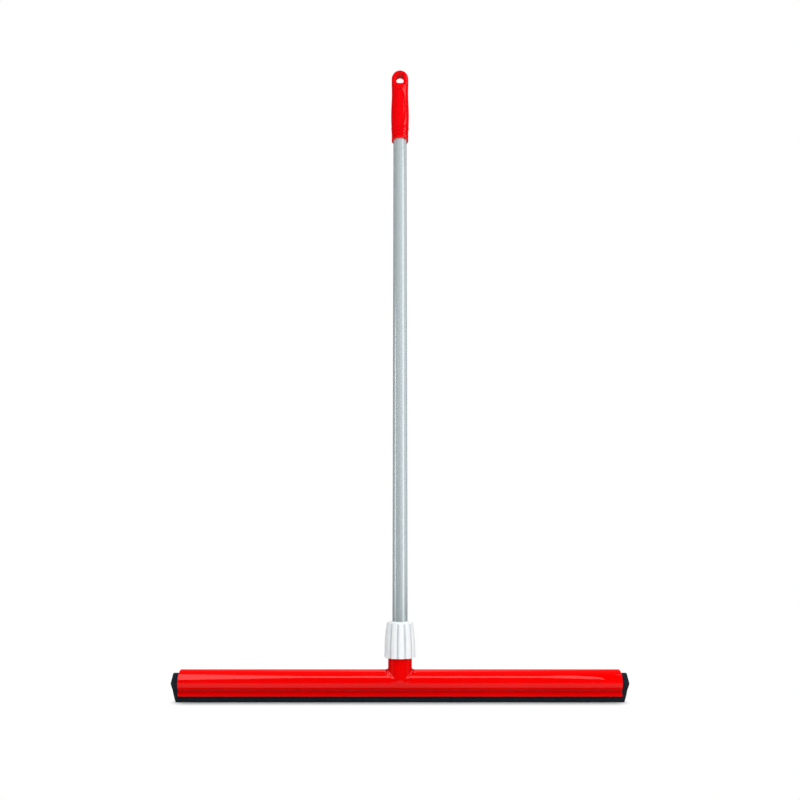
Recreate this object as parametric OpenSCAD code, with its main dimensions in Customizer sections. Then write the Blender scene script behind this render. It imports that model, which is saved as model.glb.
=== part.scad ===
// Floor squeegee: a moulded frame with a slide-in refill of two foam rubber blades, and a tube handle with a
// hand grip, held in the frame's socket by a split collet and a ribbed clamp nut.
// Millimetres. +Z is up the handle, +X runs along the head, -Y is the front. The blades' tips rest on Z = 0.

/* [Frame] */
// Length of the frame
frame_length = 730; // [400:5:1000]
// Radius of the round flanks
flank_radius = 16.8; // [15:0.2:19]
// Width of the flat along the frame's top, between the flanks
top_flat = 1.4; // [0.6:0.2:6]
// Height of the frame's widest line over the floor
belly_height = 33.6; // [31:0.2:38]
// Wall of the frame
frame_wall = 2.6; // [2:0.1:3.2]
// Width of the frame across its pinch groove
groove_width = 18; // [16:0.2:20]
// Width of the frame over its flared lips
lip_width = 21; // [20:0.5:26]
// Height of the lips' lower edges over the floor
lip_height = 10; // [8:0.5:12]

/* [Socket] */
// Diameter of the neck
neck_diameter = 38.8; // [36:0.2:44]
// Height of neck that shows between the frame and the nut
neck_length = 19.6; // [15:0.2:40]
// How far the saddle under the neck stands proud of the flanks
saddle_rise = 3; // [2:0.2:5]
// How much wider than the neck the saddle is, on each side
saddle_margin = 1; // [0.5:0.1:3]
// Diameter of the neck's threaded end
thread_diameter = 34.6; // [33:0.2:36]
// Length of the neck's threaded end
thread_length = 25; // [18:0.5:40]
// Solid floor of the socket over the frame's top
socket_floor = 3; // [2:0.5:8]
// Depth of the neck's conical mouth
mouth_depth = 12; // [8:0.5:16]
// Diameter of the neck's mouth at its rim
mouth_diameter = 31.6; // [31:0.2:32]
// Diameter at the bottom of the neck's mouth
mouth_seat_diameter = 28.4; // [28:0.2:29]

/* [Refill] */
// Length of the rubber refill
refill_length = 750; // [420:5:1020]
// Width of the refill's flat crown
crown_width = 5.6; // [5:0.2:6]
// Width of one blade's tip, where it meets the floor
tip_width = 3; // [2:0.1:4]
// Gap between the two blades' tips
tip_gap = 8; // [6:0.1:9]
// How far the ends of the blades are cut back at the tips
end_rake = 8; // [1:0.5:12]
// Thickness of the spine's web between the blades
spine_web = 2.4; // [1.6:0.1:4]
// Height of the spine
spine_height = 30; // [20:0.5:36]
// Width of the spine's flange
spine_flange_width = 4; // [3.4:0.2:4.6]
// Thickness of the spine's flange
spine_flange = 1.6; // [1:0.1:3]
// How far the spine stops short of the blades' ends
spine_setback = 6; // [2:0.5:20]

/* [Clamp] */
// Height of the clamp nut
nut_height = 57.5; // [52:0.5:70]
// Diameter of the nut at its lower rim
nut_diameter = 53; // [50:0.5:58]
// Diameter of the nut at its upper rim
nut_top_diameter = 42.6; // [40:0.2:46]
// Number of grooves around the nut
groove_count = 12; // [8:1:18]
// Depth of the nut's grooves
groove_depth = 1; // [0.5:0.1:1.6]
// Width of the nut's grooves at their floor
groove_floor = 1.3; // [0.8:0.1:2]
// Width of the rounded-off shoulders of a groove
groove_mouth = 3.2; // [2:0.1:5]
// Depth of the nut's skirt over the neck
skirt_depth = 5.5; // [3:0.5:12]
// Thickness of the collet's flange
collet_flange = 3; // [2:0.5:5]
// Diameter of the collet's flange
collet_flange_diameter = 33.2; // [32:0.2:34]
// Diameter of the collet at its top
collet_top_diameter = 28.8; // [28:0.2:30]
// Length of the collet's upper cone
collet_cone = 10.6; // [8:0.2:13]
// Width of the collet's slit
collet_slit = 3; // [1.5:0.1:5]

/* [Handle] */
// Outer diameter of the tube
tube_diameter = 25.4; // [25:0.1:25.6]
// Wall of the tube
tube_wall = 1.2; // [0.8:0.1:2]
// Length of the tube
tube_length = 1060; // [600:2:1500]
// Thickness of the foot plug's flange
plug_flange = 3; // [2:0.5:6]
// Length of the foot plug's spigot inside the tube
plug_spigot = 22; // [10:1:40]
// Wall of the foot plug
plug_wall = 2.4; // [1.6:0.1:4]

/* [Grip] */
// Length of the grip
grip_length = 151; // [145:1:190]
// Diameter of the grip at its lower end
grip_diameter = 32.2; // [31:0.2:36]
// Depth of the bore that takes the tube
grip_bore_depth = 97; // [60:1:105]
// How much the palm swell adds to the radius
palm_swell = 1.25; // [0.5:0.05:3]
// Height of the palm swell's middle over the grip's lower end
palm_height = 54.5; // [50:0.5:64]
// How much the radius grows to the top
shoulder_swell = 0.4; // [0:0.05:1.5]
// Thickness of the flattened top, front to back
top_thickness = 19.5; // [17:0.5:24]
// Width of the hang hole
hole_width = 14.5; // [12:0.5:17]
// Height of the hang hole
hole_height = 21.5; // [18:0.5:25]
// Solid grip over the hang hole
hole_cover = 8.5; // [6:0.5:12]
// Length of the leaf-shaped panel, front and back
panel_length = 85; // [60:1:90]
// Width of the leaf-shaped panel
panel_width = 20; // [10:0.5:22]
// Depth of the leaf-shaped panel
panel_depth = 0.5; // [0.3:0.1:1]

/* [Clearances] */
// Clearance around the refill in its channel
channel_clearance = 0.5; // [0.3:0.05:0.8]
// Clearance of the tube in the socket's bore and the nut's top
bore_clearance = 0.4; // [0.3:0.05:0.6]
// Clearance between nut, neck and collet
clamp_clearance = 0.35; // [0.3:0.05:0.5]
// Fit of the tube in the collet, the grip and on the plug
tube_fit = 0.05; // [0.02:0.01:0.1]

/* [Hidden] */
$fn = 96;
// How far a cutting shape runs past what it cuts
past = 1;

// Frame section
flank_offset = top_flat / 2;
frame_width = top_flat + 2 * flank_radius;
frame_top = belly_height + flank_radius;
groove_height = belly_height - sqrt(pow(flank_radius, 2) - pow(groove_width / 2 - flank_offset, 2));
inner_flank = flank_radius - frame_wall;

// Refill section
blade_belly = frame_width / 2 - frame_wall - channel_clearance;
blade_pinch = groove_width / 2 - frame_wall - channel_clearance;
blade_top = frame_top - frame_wall - channel_clearance;
tip_inner = tip_gap / 2;
tip_outer = tip_inner + tip_width;
spine_bottom = blade_top - spine_height;

// Stations along the handle
socket_bottom = frame_top + socket_floor;
nut_base = frame_top + neck_length;
neck_shoulder = nut_base + skirt_depth;
neck_top = neck_shoulder + thread_length;
nut_top = nut_base + nut_height;
tube_foot = socket_bottom + plug_flange;
tube_top = tube_foot + tube_length;
grip_base = tube_top - grip_bore_depth;

// Radii around the handle
neck_radius = neck_diameter / 2;
thread_radius = thread_diameter / 2;
tube_radius = tube_diameter / 2;
fit_radius = tube_radius + tube_fit;
bore_radius = tube_radius + bore_clearance;

// Collet stations
collet_foot = neck_top - mouth_depth + past;
flange_base = neck_top + clamp_clearance;
flange_top = flange_base + collet_flange;
collet_top = flange_top + collet_cone;

// Nut outline
nut_rim_flare = 0.65;
nut_rim_share = 0.22;
nut_edge = 1.2;
nut_groove_end = 0.93;
nut_steps = 14;
// Turns the grooves so that one lies 10 degrees left of the front
groove_phase = 20;

// Grip outline
grip_radius_low = grip_diameter / 2;
grip_dome = grip_radius_low + shoulder_swell;
grip_steps = 44;
palm_reach = 48;
shoulder_start = 103.5;
shoulder_run = 24;
flat_fillet = 5;
hole_top = grip_length - hole_cover;
hole_foot = hole_top - hole_height;
hole_corner = 3;
bead_height = 26.5;
bead_size = 1.4;
bead_sink = 0.9;
ring_groove_heights = [7.5, 14];
ring_groove_size = 0.8;
ring_groove_lift = 0.45;
panel_height = 62;

// Half-width of a blade's outer face at height z: straight from the belly to the pinch, and on to the tip
function blade_flank(z) = z > groove_height
    ? blade_pinch + (blade_belly - blade_pinch) * (z - groove_height) / (belly_height - groove_height)
    : tip_outer + (blade_pinch - tip_outer) * z / groove_height;

// Radius of the nut at share u of its height: a straight skirt with a flared rim, drawn in by a cubic to the top
function nut_radius(u) =
    let (middle = nut_diameter / 2 - nut_rim_flare,
         rim = max(0, 1 - max(u, 0) / nut_rim_share))
    middle + nut_rim_flare * rim * rim - (middle - nut_top_diameter / 2) * pow(max(u, 0), 3);

// Radius of the neck's conical mouth at height z
function mouth_radius(z) =
    (mouth_diameter + (mouth_seat_diameter - mouth_diameter) * (neck_top - z) / mouth_depth) / 2;

// A cosine hump of height 1 that fades out one reach away from its middle
function hump(distance, reach) = abs(distance) < reach ? (1 + cos(180 * distance / reach)) / 2 : 0;

// A ramp from 0 to 1 over one run, level at both ends
function ramp(s, start, run) = let (t = min(1, max(0, (s - start) / run))) t * t * (3 - 2 * t);

// Radius of the grip at height s over its lower end
function grip_radius(s) =
    grip_radius_low
    + palm_swell * hump(s - palm_height, palm_reach)
    + shoulder_swell * ramp(s, shoulder_start, shoulder_run);

// Carries a section drawn as (Y, Z) along X, centred
module along_head(length) {
    rotate([90, 0, 90]) linear_extrude(length, center = true) children();
}

// Carries an outline drawn as (X, Z) through the front and back, centred
module front_to_back(depth) {
    rotate([90, 0, 0]) linear_extrude(depth, center = true) children();
}

// The frame's rounded body in section, with round flanks of the given radius
module flank_section(radius) {
    for (side = [-1, 1])
        translate([side * flank_offset, belly_height]) circle(r = radius);
    translate([-flank_offset, belly_height - radius]) square([2 * flank_offset, 2 * radius]);
}

// A shape that is the same on both sides, from the half-widths and heights of its corners, top to bottom
module even_section(corners) {
    last = len(corners) - 1;
    polygon(concat(
        corners,
        [for (i = [last:-1:0]) [-corners[i][0], corners[i][1]]]));
}

module frame_outside() {
    flank_section(flank_radius);
    even_section([
        [groove_width / 2, groove_height],
        [lip_width / 2, lip_height]]);
}

// The channel: the flanks less their wall, and a throat that follows the blades and opens towards the lips
module frame_channel() {
    throat_top = belly_height - inner_flank / 2;
    flank_section(inner_flank);
    even_section([
        [blade_flank(throat_top) + channel_clearance, throat_top],
        [blade_flank(groove_height) + channel_clearance, groove_height],
        [lip_width / 2 - frame_wall, lip_height],
        [lip_width / 2 - frame_wall, lip_height - past]]);
}

// The neck: a turned post with a threaded end
module neck_turning() {
    rotate_extrude() polygon([
        [0, belly_height],
        [neck_radius, belly_height],
        [neck_radius, neck_shoulder],
        [thread_radius, neck_shoulder],
        [thread_radius, neck_top],
        [0, neck_top]]);
}

// The saddle: a short sleeve around the flanks under the neck, cut to a U in the front view
module neck_saddle() {
    reach = neck_radius + saddle_margin;
    intersection() {
        along_head(2 * (reach + past)) translate([0, belly_height]) circle(r = flank_radius + saddle_rise);
        front_to_back(2 * (reach + past)) translate([0, frame_top]) circle(r = reach);
    }
}

module head_frame() {
    color("red") difference() {
        union() {
            along_head(frame_length) frame_outside();
            neck_turning();
            neck_saddle();
        }
        along_head(frame_length + 2 * past) frame_channel();
        translate([0, 0, socket_bottom]) cylinder(r = bore_radius, h = neck_top - socket_bottom + past);
        translate([0, 0, neck_top - mouth_depth])
            cylinder(r1 = mouth_seat_diameter / 2, r2 = mouth_radius(neck_top + past), h = mouth_depth + past);
    }
}

module blade_spine() {
    color("dimgray") along_head(refill_length - 2 * spine_setback) {
        translate([-spine_flange_width / 2, blade_top - spine_flange])
            square([spine_flange_width, spine_flange]);
        translate([-spine_web / 2, spine_bottom]) square([spine_web, spine_height]);
    }
}

// One blade in section: crown, belly, pinch and tip, with a rebate for the spine
module blade_section() {
    polygon([
        [spine_web / 2, blade_top - spine_flange],
        [spine_flange_width / 2, blade_top - spine_flange],
        [spine_flange_width / 2, blade_top],
        [crown_width / 2, blade_top],
        [blade_belly, belly_height],
        [blade_pinch, groove_height],
        [tip_outer, 0],
        [tip_inner, 0],
        [spine_web / 2, spine_bottom]]);
}

// The raked end cuts, from the belly line down to the tips
module end_cuts() {
    front_to_back(frame_width)
        for (side = [-1, 1])
            polygon([
                [side * refill_length / 2, belly_height],
                [side * (refill_length / 2 + past), belly_height],
                [side * (refill_length / 2 + past), -past],
                [side * (refill_length / 2 - end_rake * (1 + past / belly_height)), -past]]);
}

module front_blade() {
    color("darkslategray") difference() {
        along_head(refill_length) mirror([1, 0]) blade_section();
        end_cuts();
    }
}

module rear_blade() {
    color("darkslategray") difference() {
        along_head(refill_length) blade_section();
        end_cuts();
    }
}

module collet() {
    slit_length = collet_flange_diameter;
    color("whitesmoke") difference() {
        rotate_extrude() polygon([
            [fit_radius, collet_foot],
            [mouth_radius(collet_foot) - clamp_clearance, collet_foot],
            [mouth_radius(neck_top) - clamp_clearance, neck_top],
            [mouth_radius(neck_top) - clamp_clearance, flange_base],
            [collet_flange_diameter / 2, flange_base],
            [collet_flange_diameter / 2, flange_top],
            [collet_top_diameter / 2, collet_top],
            [fit_radius, collet_top]]);
        translate([0, -collet_slit / 2, collet_foot - past])
            cube([slit_length, collet_slit, collet_top - collet_foot + 2 * past]);
    }
}

// The nut's inside: skirt, threaded length, cone over the collet and the hole for the tube
module nut_cavity() {
    thread_room = thread_radius + clamp_clearance;
    thread_start = neck_shoulder + clamp_clearance;
    cone_start = flange_top + clamp_clearance;
    cone_end = collet_top + clamp_clearance;
    rotate_extrude() polygon([
        [0, nut_base - past],
        [neck_radius + clamp_clearance, nut_base - past],
        [neck_radius + clamp_clearance, thread_start],
        [thread_room, thread_start],
        [thread_room, cone_start],
        [collet_top_diameter / 2 + clamp_clearance, cone_end],
        [bore_radius, cone_end],
        [bore_radius, nut_top + past],
        [0, nut_top + past]]);
}

// One groove of the given width, a constant depth below the nut's outline
module nut_groove(width, depth) {
    reach = nut_diameter / 2 + past;
    groove_top = nut_groove_end * nut_height;
    front_to_back(width) polygon(concat(
        [[reach, -past]],
        [[nut_radius(0) - depth, -past]],
        [for (i = [0:nut_steps])
            let (u = nut_groove_end * i / nut_steps)
            [nut_radius(u) - depth, u * nut_height]],
        [[reach, groove_top]]));
}

module clamp_nut() {
    shoulder = groove_depth / 3;
    color("white") difference() {
        translate([0, 0, nut_base]) difference() {
            rotate_extrude() polygon(concat(
                [[0, 0]],
                [for (i = [0:nut_steps])
                    let (u = i / nut_steps * (1 - nut_edge / nut_height))
                    [nut_radius(u), u * nut_height]],
                [[nut_top_diameter / 2 - nut_edge, nut_height]],
                [[0, nut_height]]));
            for (i = [0:groove_count - 1])
                rotate([0, 0, groove_phase + i * 360 / groove_count]) {
                    nut_groove(groove_floor, groove_depth);
                    nut_groove(groove_mouth, shoulder);
                }
        }
        nut_cavity();
    }
}

module handle_tube() {
    color("silver") translate([0, 0, tube_foot]) difference() {
        cylinder(r = tube_radius, h = tube_length);
        translate([0, 0, -past]) cylinder(r = tube_radius - tube_wall, h = tube_length + 2 * past);
    }
}

module tube_foot_plug() {
    spigot_radius = tube_radius - tube_wall - tube_fit;
    color("black") translate([0, 0, socket_bottom]) difference() {
        union() {
            cylinder(r = tube_radius, h = plug_flange);
            cylinder(r = spigot_radius, h = plug_flange + plug_spigot);
        }
        translate([0, 0, plug_flange])
            cylinder(r = spigot_radius - plug_wall, h = plug_spigot + past);
    }
}

// The grip's turned form, drawn in by the given amount
module grip_turning(inset) {
    foot = grip_length - grip_dome;
    rotate_extrude() polygon(concat(
        [[0, 0]],
        [for (i = [0:grip_steps])
            let (s = foot * i / grip_steps)
            [grip_radius(s) - inset, s]],
        [[0, foot]]));
    translate([0, 0, foot]) sphere(r = grip_dome - inset);
}

// The leaf outline of the panel: where two large circles overlap
module panel_leaf() {
    leaf_radius = (pow(panel_length, 2) + pow(panel_width, 2)) / (4 * panel_width);
    leaf_offset = leaf_radius - panel_width / 2;
    translate([0, panel_height]) intersection() {
        translate([-leaf_offset, 0]) circle(r = leaf_radius, $fn = 360);
        translate([leaf_offset, 0]) circle(r = leaf_radius, $fn = 360);
    }
}

// The flats that thin the grip's top, front and back, each run out with a round fillet
module top_flats() {
    flat_start = hole_foot + past;
    for (side = [-1, 1])
        translate([0, side * (top_thickness / 2 + flat_fillet), flat_start]) {
            rotate([0, 90, 0]) cylinder(r = flat_fillet, h = 2 * grip_diameter, center = true);
            translate([-grip_diameter, -flat_fillet, 0])
                cube([2 * grip_diameter, 2 * flat_fillet, grip_length]);
        }
}

// The hang hole: a flat foot with round corners under a half-round arch
module hang_hole() {
    arch = hole_width / 2;
    corner = arch - hole_corner;
    front_to_back(2 * grip_diameter) {
        translate([0, hole_top - arch]) circle(r = arch);
        translate([-arch, hole_foot + hole_corner])
            square([hole_width, hole_top - arch - hole_foot - hole_corner]);
        translate([-corner, hole_foot]) square([2 * corner, hole_corner]);
        for (side = [-1, 1])
            translate([side * corner, hole_foot + hole_corner]) circle(r = hole_corner);
    }
}

module ring_at(s, outset, size) {
    translate([0, 0, s]) rotate_extrude() translate([grip_radius(s) + outset, 0]) circle(r = size, $fn = 24);
}

module grip() {
    color("crimson") translate([0, 0, grip_base]) difference() {
        union() {
            grip_turning(0);
            ring_at(bead_height, -bead_sink, bead_size);
        }
        difference() {
            front_to_back(2 * grip_diameter) panel_leaf();
            grip_turning(panel_depth);
        }
        for (s = ring_groove_heights)
            ring_at(s, ring_groove_lift, ring_groove_size);
        top_flats();
        hang_hole();
        translate([0, 0, -past]) cylinder(r = fit_radius, h = grip_bore_depth + past);
    }
}

head_frame();
blade_spine();
front_blade();
rear_blade();
collet();
clamp_nut();
handle_tube();
tube_foot_plug();
grip();
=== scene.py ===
import math

import bmesh
import bpy
import numpy as np
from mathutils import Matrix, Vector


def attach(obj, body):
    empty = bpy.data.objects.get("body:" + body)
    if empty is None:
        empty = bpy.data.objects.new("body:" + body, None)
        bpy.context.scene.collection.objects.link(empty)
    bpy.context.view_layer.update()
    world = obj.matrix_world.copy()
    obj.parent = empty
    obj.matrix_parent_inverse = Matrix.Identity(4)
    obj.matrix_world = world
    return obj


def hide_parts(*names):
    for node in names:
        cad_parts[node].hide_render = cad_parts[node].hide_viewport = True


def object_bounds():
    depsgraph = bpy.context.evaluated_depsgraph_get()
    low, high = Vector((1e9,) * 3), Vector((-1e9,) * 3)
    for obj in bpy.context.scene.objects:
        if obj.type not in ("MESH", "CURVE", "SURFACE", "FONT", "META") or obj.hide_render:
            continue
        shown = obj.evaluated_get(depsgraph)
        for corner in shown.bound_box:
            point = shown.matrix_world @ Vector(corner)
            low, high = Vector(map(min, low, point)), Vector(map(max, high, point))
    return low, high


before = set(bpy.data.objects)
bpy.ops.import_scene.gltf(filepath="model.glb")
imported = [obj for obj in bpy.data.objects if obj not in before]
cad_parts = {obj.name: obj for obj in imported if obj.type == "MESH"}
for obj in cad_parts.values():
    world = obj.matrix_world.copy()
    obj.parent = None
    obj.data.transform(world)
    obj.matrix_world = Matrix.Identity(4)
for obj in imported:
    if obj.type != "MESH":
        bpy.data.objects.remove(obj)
cad_low, cad_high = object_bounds()

# Lengths below are in millimetres, as in the part's source, and MM turns them into metres.
MM = 0.001

# Frame section, drawn as (Y, Z)
BELLY = 33.6
FLANK_RADIUS = 16.8
FLANK_OFFSET = 0.7
FRAME_TOP = BELLY + FLANK_RADIUS
FRAME_WALL = 2.6
FRAME_SOFTNESS = 0.55
GROOVE_HALF = 9.0
GROOVE_HEIGHT = BELLY - math.sqrt(FLANK_RADIUS**2 - (GROOVE_HALF - FLANK_OFFSET) ** 2)
LIP_HALF = 10.4
LIP_CURVE = 1.6
LIP_HEIGHT = 9.7
FRAME_HALF_LENGTH = 364.4
FRAME_EDGE = 0.5
CHANNEL_CLEARANCE = 0.5

# The painted shade along the groove, a dark line: how far it lies under the groove's height, and its fade up
# and down
GROOVE_SHADE_DROP = 0.8
GROOVE_SHADE_UP = 0.9
GROOVE_SHADE_DOWN = 3.0

# Refill section
BELLY_SLACK = 0.3
BLADE_BELLY = FLANK_OFFSET + FLANK_RADIUS - FRAME_WALL - CHANNEL_CLEARANCE - BELLY_SLACK
BLADE_BELLY_HEIGHT = 30.4
BLADE_PINCH = GROOVE_HALF - FRAME_WALL - CHANNEL_CLEARANCE
BLADE_TOP = 45.0
BLADE_HEART = (2.5, 28.0)
BLADE_EDGE = 0.5
CROWN_HALF = 2.8
TIP_INNER = 4.0
TIP_OUTER = 7.0
SPINE_WEB_HALF = 1.2
SPINE_FLANGE_HALF = 2.0
SPINE_FLANGE = 1.6
FLANGE_FOOT = BLADE_TOP - SPINE_FLANGE
SPINE_BOTTOM = 17.3
SPINE_HALF_LENGTH = 372.0
SPINE_EDGE = 0.2
REFILL_HALF_LENGTH = 376.0
END_RAKE = 8.0
RAKE_CURVE = 1.6

# The slight waves along a lip's tip, as (height, length for one radian, phase)
TIP_WAVES = ((0.22, 31.0, 1.0), (0.12, 11.3, 2.0))

# Neck and socket
NECK_RADIUS = 19.7
SADDLE_HALF_LENGTH = 24.5
SADDLE_HALF_ACROSS = 33.5
SADDLE_POWER = 2.2
SADDLE_STEP = 0.13
SADDLE_RISE = 0.8
SADDLE_SUNK = 0.05
BLEND_TOP_SIDE = 55.5
BLEND_TOP_FRONT = 36.5
NUT_BASE = FRAME_TOP + 19.6
NECK_SHOULDER = NUT_BASE + 5.5
NECK_TOP = NECK_SHOULDER + 25.0
THREAD_RADIUS = 17.3
THREAD_LEAD = 4.0
THREAD_DEPTH = 0.9
THREAD_FLANK = 0.6
THREAD_RUN_IN = 3.0
THREAD_RUN_OUT = 2.0
SOCKET_FLOOR = FRAME_TOP + 3.0
BORE_RADIUS = 13.1
MOUTH_SEAT = NECK_TOP - 12.0
MOUTH_SEAT_RADIUS = 14.2
MOUTH_RADIUS = 15.8

# Clamp nut
NUT_HEIGHT = 57.5
NUT_TOP = NUT_BASE + NUT_HEIGHT
NUT_RADIUS = 25.85
NUT_FLARE = 0.65
NUT_FLARE_SHARE = 0.22
NUT_TAPER = 4.55
NUT_TOP_EDGE = 1.2
NUT_TOP_RADIUS = 20.1
NUT_CLEARANCE = 0.35
NUT_CONE_FOOT = NECK_TOP + 3.7
NUT_CONE_TOP = NECK_TOP + 14.3
NUT_CONE_TOP_RADIUS = 14.75
NUT_LOBES = 12
NUT_GROOVE_TURN = 20.0
LOBE_DROP = 0.6
LOBE_INSIDE = 19.9
LOBE_OUTSIDE = 21.2
NOTCH_DEPTH = 2.6
NOTCH_WIDTH = 0.17
NOTCH_END = NUT_TOP - 6.0
BAND_START = NUT_TOP - 2.4

# Handle
TUBE_RADIUS = 12.7
TUBE_WALL = 1.2
TUBE_FOOT = SOCKET_FLOOR + 3.0
TUBE_TOP = TUBE_FOOT + 1060.0
GRIP_LENGTH = 151.0
GRIP_BORE = 12.75
GRIP_BORE_DEPTH = 97.0
GRIP_BASE = TUBE_TOP - GRIP_BORE_DEPTH
GRIP_RADIUS = 16.1
GRIP_LIP = 2.0
GRIP_SPLIT = 108.0
SWELL = 1.25
SWELL_HEIGHT = 54.5
SWELL_REACH = 48.0
TOP_GROWTH = 0.4
GROWTH_FOOT = 103.5
GROWTH_TOP = 127.5
GRIP_DOME = 16.5
DOME_FOOT = GRIP_LENGTH - GRIP_DOME
TOP_HALF_THICKNESS = 9.75
HOLE_HALF = 7.25
HOLE_TOP = GRIP_LENGTH - 8.5
HOLE_ARCH = HOLE_TOP - HOLE_HALF
HOLE_FOOT = HOLE_TOP - 21.5
HOLE_CORNER = 4.6
HOLE_EDGE = 1.8
FLAT_START = HOLE_FOOT - 1.2
FLAT_FILLET = 5.0
FLAT_RUN_OUT = 4.0
FLAT_BLEND = 2.4

# The grip's relief, and the painted shade line just inside the panel's edge. Lines and beads are bells, and
# their width is the bell's standard deviation.
PANEL_HEIGHT = 62.0
PANEL_HALF_LENGTH = 43.0
PANEL_HALF_WIDTH = 9.3
PANEL_DEPTH = 0.8
PANEL_SLOPE = (-0.6, 0.9)
PANEL_SHADE_LINE = 0.6
PANEL_SHADE_LINE_WIDTH = 0.8
RIM_AWAY = 1.2
RIM_RISE = 0.3
RIM_WIDTH = 0.7
RING_HEIGHTS = (7.5, 14.0)
RING_DEPTH = 0.5
RING_WIDTH = 0.9
BEAD_HEIGHT = 26.5
BEAD_RISE = 0.5
BEAD_WIDTH = 1.6
RELIEF_FOOT = (1.5, 5.0)
RELIEF_FADE = 4.0

# Makes a left half from a right one, or the other way round
MIRROR = np.array([-1.0, 1.0])


def ramp(value, start, end):
    """Runs from 0 at start to 1 at end, level at both ends: t squared times (3 - 2 t)."""
    t = np.clip((value - start) / (end - start), 0.0, 1.0)
    return t * t * (3.0 - 2.0 * t)


def hump(distance, reach):
    """A cosine hump of height 1 that fades out one reach away from its middle."""
    return 0.5 + 0.5 * np.cos(np.pi * np.clip(np.abs(distance) / reach, 0.0, 1.0))


def bell(distance, width):
    """A Gaussian bell of height 1, with the given standard deviation."""
    return np.exp(-0.5 * (distance / width) ** 2)


def soft_min(a, b, width):
    """The smaller of two values, with the corner between them rounded over the given width."""
    share = np.clip(0.5 + 0.5 * (b - a) / width, 0.0, 1.0)
    return b + (a - b) * share - width * share * (1.0 - share)


def signed_power(value, power):
    """A power of a value's size, with the value's own sign."""
    return np.sign(value) * np.abs(value) ** power


def whole_turn(columns):
    """The angles of columns that stand evenly round a circle, in radians."""
    return np.linspace(0.0, 2.0 * np.pi, columns, endpoint=False)


def lengths_along(points):
    """The length from the first point to each point of a polyline."""
    steps = np.linalg.norm(np.diff(points, axis=0), axis=1)
    return np.concatenate([[0.0], np.cumsum(steps)])


def points_at(points, where):
    """The points at the given lengths along a polyline, by straight interpolation."""
    along = lengths_along(points)
    return np.stack([np.interp(where, along, points[:, k]) for k in range(points.shape[1])], axis=1)


def evenly(points, count, last=True):
    """Count points at equal steps along a polyline, with or without its last point."""
    return points_at(points, np.linspace(0.0, lengths_along(points)[-1], count, endpoint=last))


def softened(corners, softness, closed, fine=0.04):
    """A polyline whose corners are rounded by a Gaussian blur of its points along its length.

    The polyline is cut into equal fine steps and blurred in the frequency domain. An open one is first
    continued past both ends by its own point reflection, which keeps the ends where they are."""
    corners = np.asarray(corners, float)
    if closed:
        corners = np.concatenate([corners, corners[:1]])
    total = lengths_along(corners)[-1]
    count = max(16, int(total / fine))
    path = evenly(corners, count + 1)
    if closed:
        line = path[:-1]
    else:
        line = np.concatenate([2 * path[0] - path[:0:-1], path, 2 * path[-1] - path[-2::-1]])
    waves = np.fft.rfftfreq(len(line), total / count)
    fade = np.exp(-2.0 * (np.pi * softness * waves) ** 2)
    line = np.fft.irfft(np.fft.rfft(line, axis=0) * fade[:, None], len(line), axis=0)
    if closed:
        return np.concatenate([line, line[:1]])
    return line[count:2 * count + 1]


def gathered(path, count, pull):
    """Count points along a path, spaced closer where it bends: each step takes an equal share of the length
    plus pull times the angle turned."""
    steps = np.diff(path, axis=0)
    angle = np.unwrap(np.arctan2(steps[:, 1], steps[:, 0]))
    bend = np.abs(np.diff(angle, prepend=angle[:1]))
    share = np.concatenate([[0.0], np.cumsum(np.linalg.norm(steps, axis=1) + pull * bend)])
    where = np.interp(np.linspace(0.0, share[-1], count), share, lengths_along(path))
    return points_at(path, where)


def rounded(corners, softness, closed, count, pull):
    """A polyline with rounded corners, as count points that are closer where it bends."""
    return gathered(softened(corners, softness, closed), count, pull)


def side_normals(path):
    """Unit vectors a quarter turn left of the path's direction at each point."""
    along = np.gradient(path, axis=0)
    along /= np.linalg.norm(along, axis=1)[:, None]
    return np.stack([-along[:, 1], along[:, 0]], axis=1)


def closed_section(corners, softness, count, pull):
    """A closed section with rounded corners: its points, each once, and their side normals."""
    soft = softened(corners, softness, closed=True)
    both = gathered(np.concatenate([soft, side_normals(soft)], axis=1), count, pull)[:-1]
    return both[:, :2], both[:, 2:]


def closing_rings(section, heart, count):
    """Copies of a section that shrink to its heart, for an end cap."""
    closing = np.linspace(1.0, 0.0, count)[:, None, None]
    return heart + closing * (section - heart)


def circle_arc(centre, radius, start, end, count):
    """Points on an arc from one angle to another, in degrees."""
    turn = np.radians(np.linspace(start, end, count))
    return np.stack([centre[0] + radius * np.cos(turn), centre[1] + radius * np.sin(turn)], axis=1)


def grid_quads(rows, columns, ring, first):
    """The quads between neighbouring rows and columns of a grid whose vertices start at index first."""
    index = first + np.arange(rows * columns).reshape(rows, columns)
    if ring:
        index = np.concatenate([index, index[:, :1]], axis=1)
    quads = np.stack([index[:-1, :-1], index[:-1, 1:], index[1:, 1:], index[1:, :-1]], axis=-1)
    return quads.reshape(-1, 4)


def make_piece(name, grids, material, body, nodes, sharp):
    """Joins grids of points, each given with whether its columns close into a ring, into one smooth closed
    mesh that rides on a body and stands for CAD nodes. Edges sharper than the given angle stay sharp."""
    weld = 2e-6
    points, quads, first = [], [], 0
    for grid, ring in grids:
        rows, columns = grid.shape[:2]
        points.append(grid.reshape(-1, 3) * MM)
        quads.append(grid_quads(rows, columns, ring, first))
        first += rows * columns
    mesh = bpy.data.meshes.new(name)
    mesh.from_pydata(np.concatenate(points).tolist(), [], np.concatenate(quads).tolist())
    work = bmesh.new()
    work.from_mesh(mesh)
    bmesh.ops.remove_doubles(work, verts=work.verts, dist=weld)
    bmesh.ops.recalc_face_normals(work, faces=work.faces)
    work.to_mesh(mesh)
    work.free()
    mesh.shade_smooth()
    mesh.set_sharp_from_angle(angle=math.radians(sharp))
    piece = bpy.data.objects.new(name, mesh)
    bpy.context.scene.collection.objects.link(piece)
    mesh.materials.append(material)
    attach(piece, body)
    for node in nodes:
        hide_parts(node)
    return piece


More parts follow.
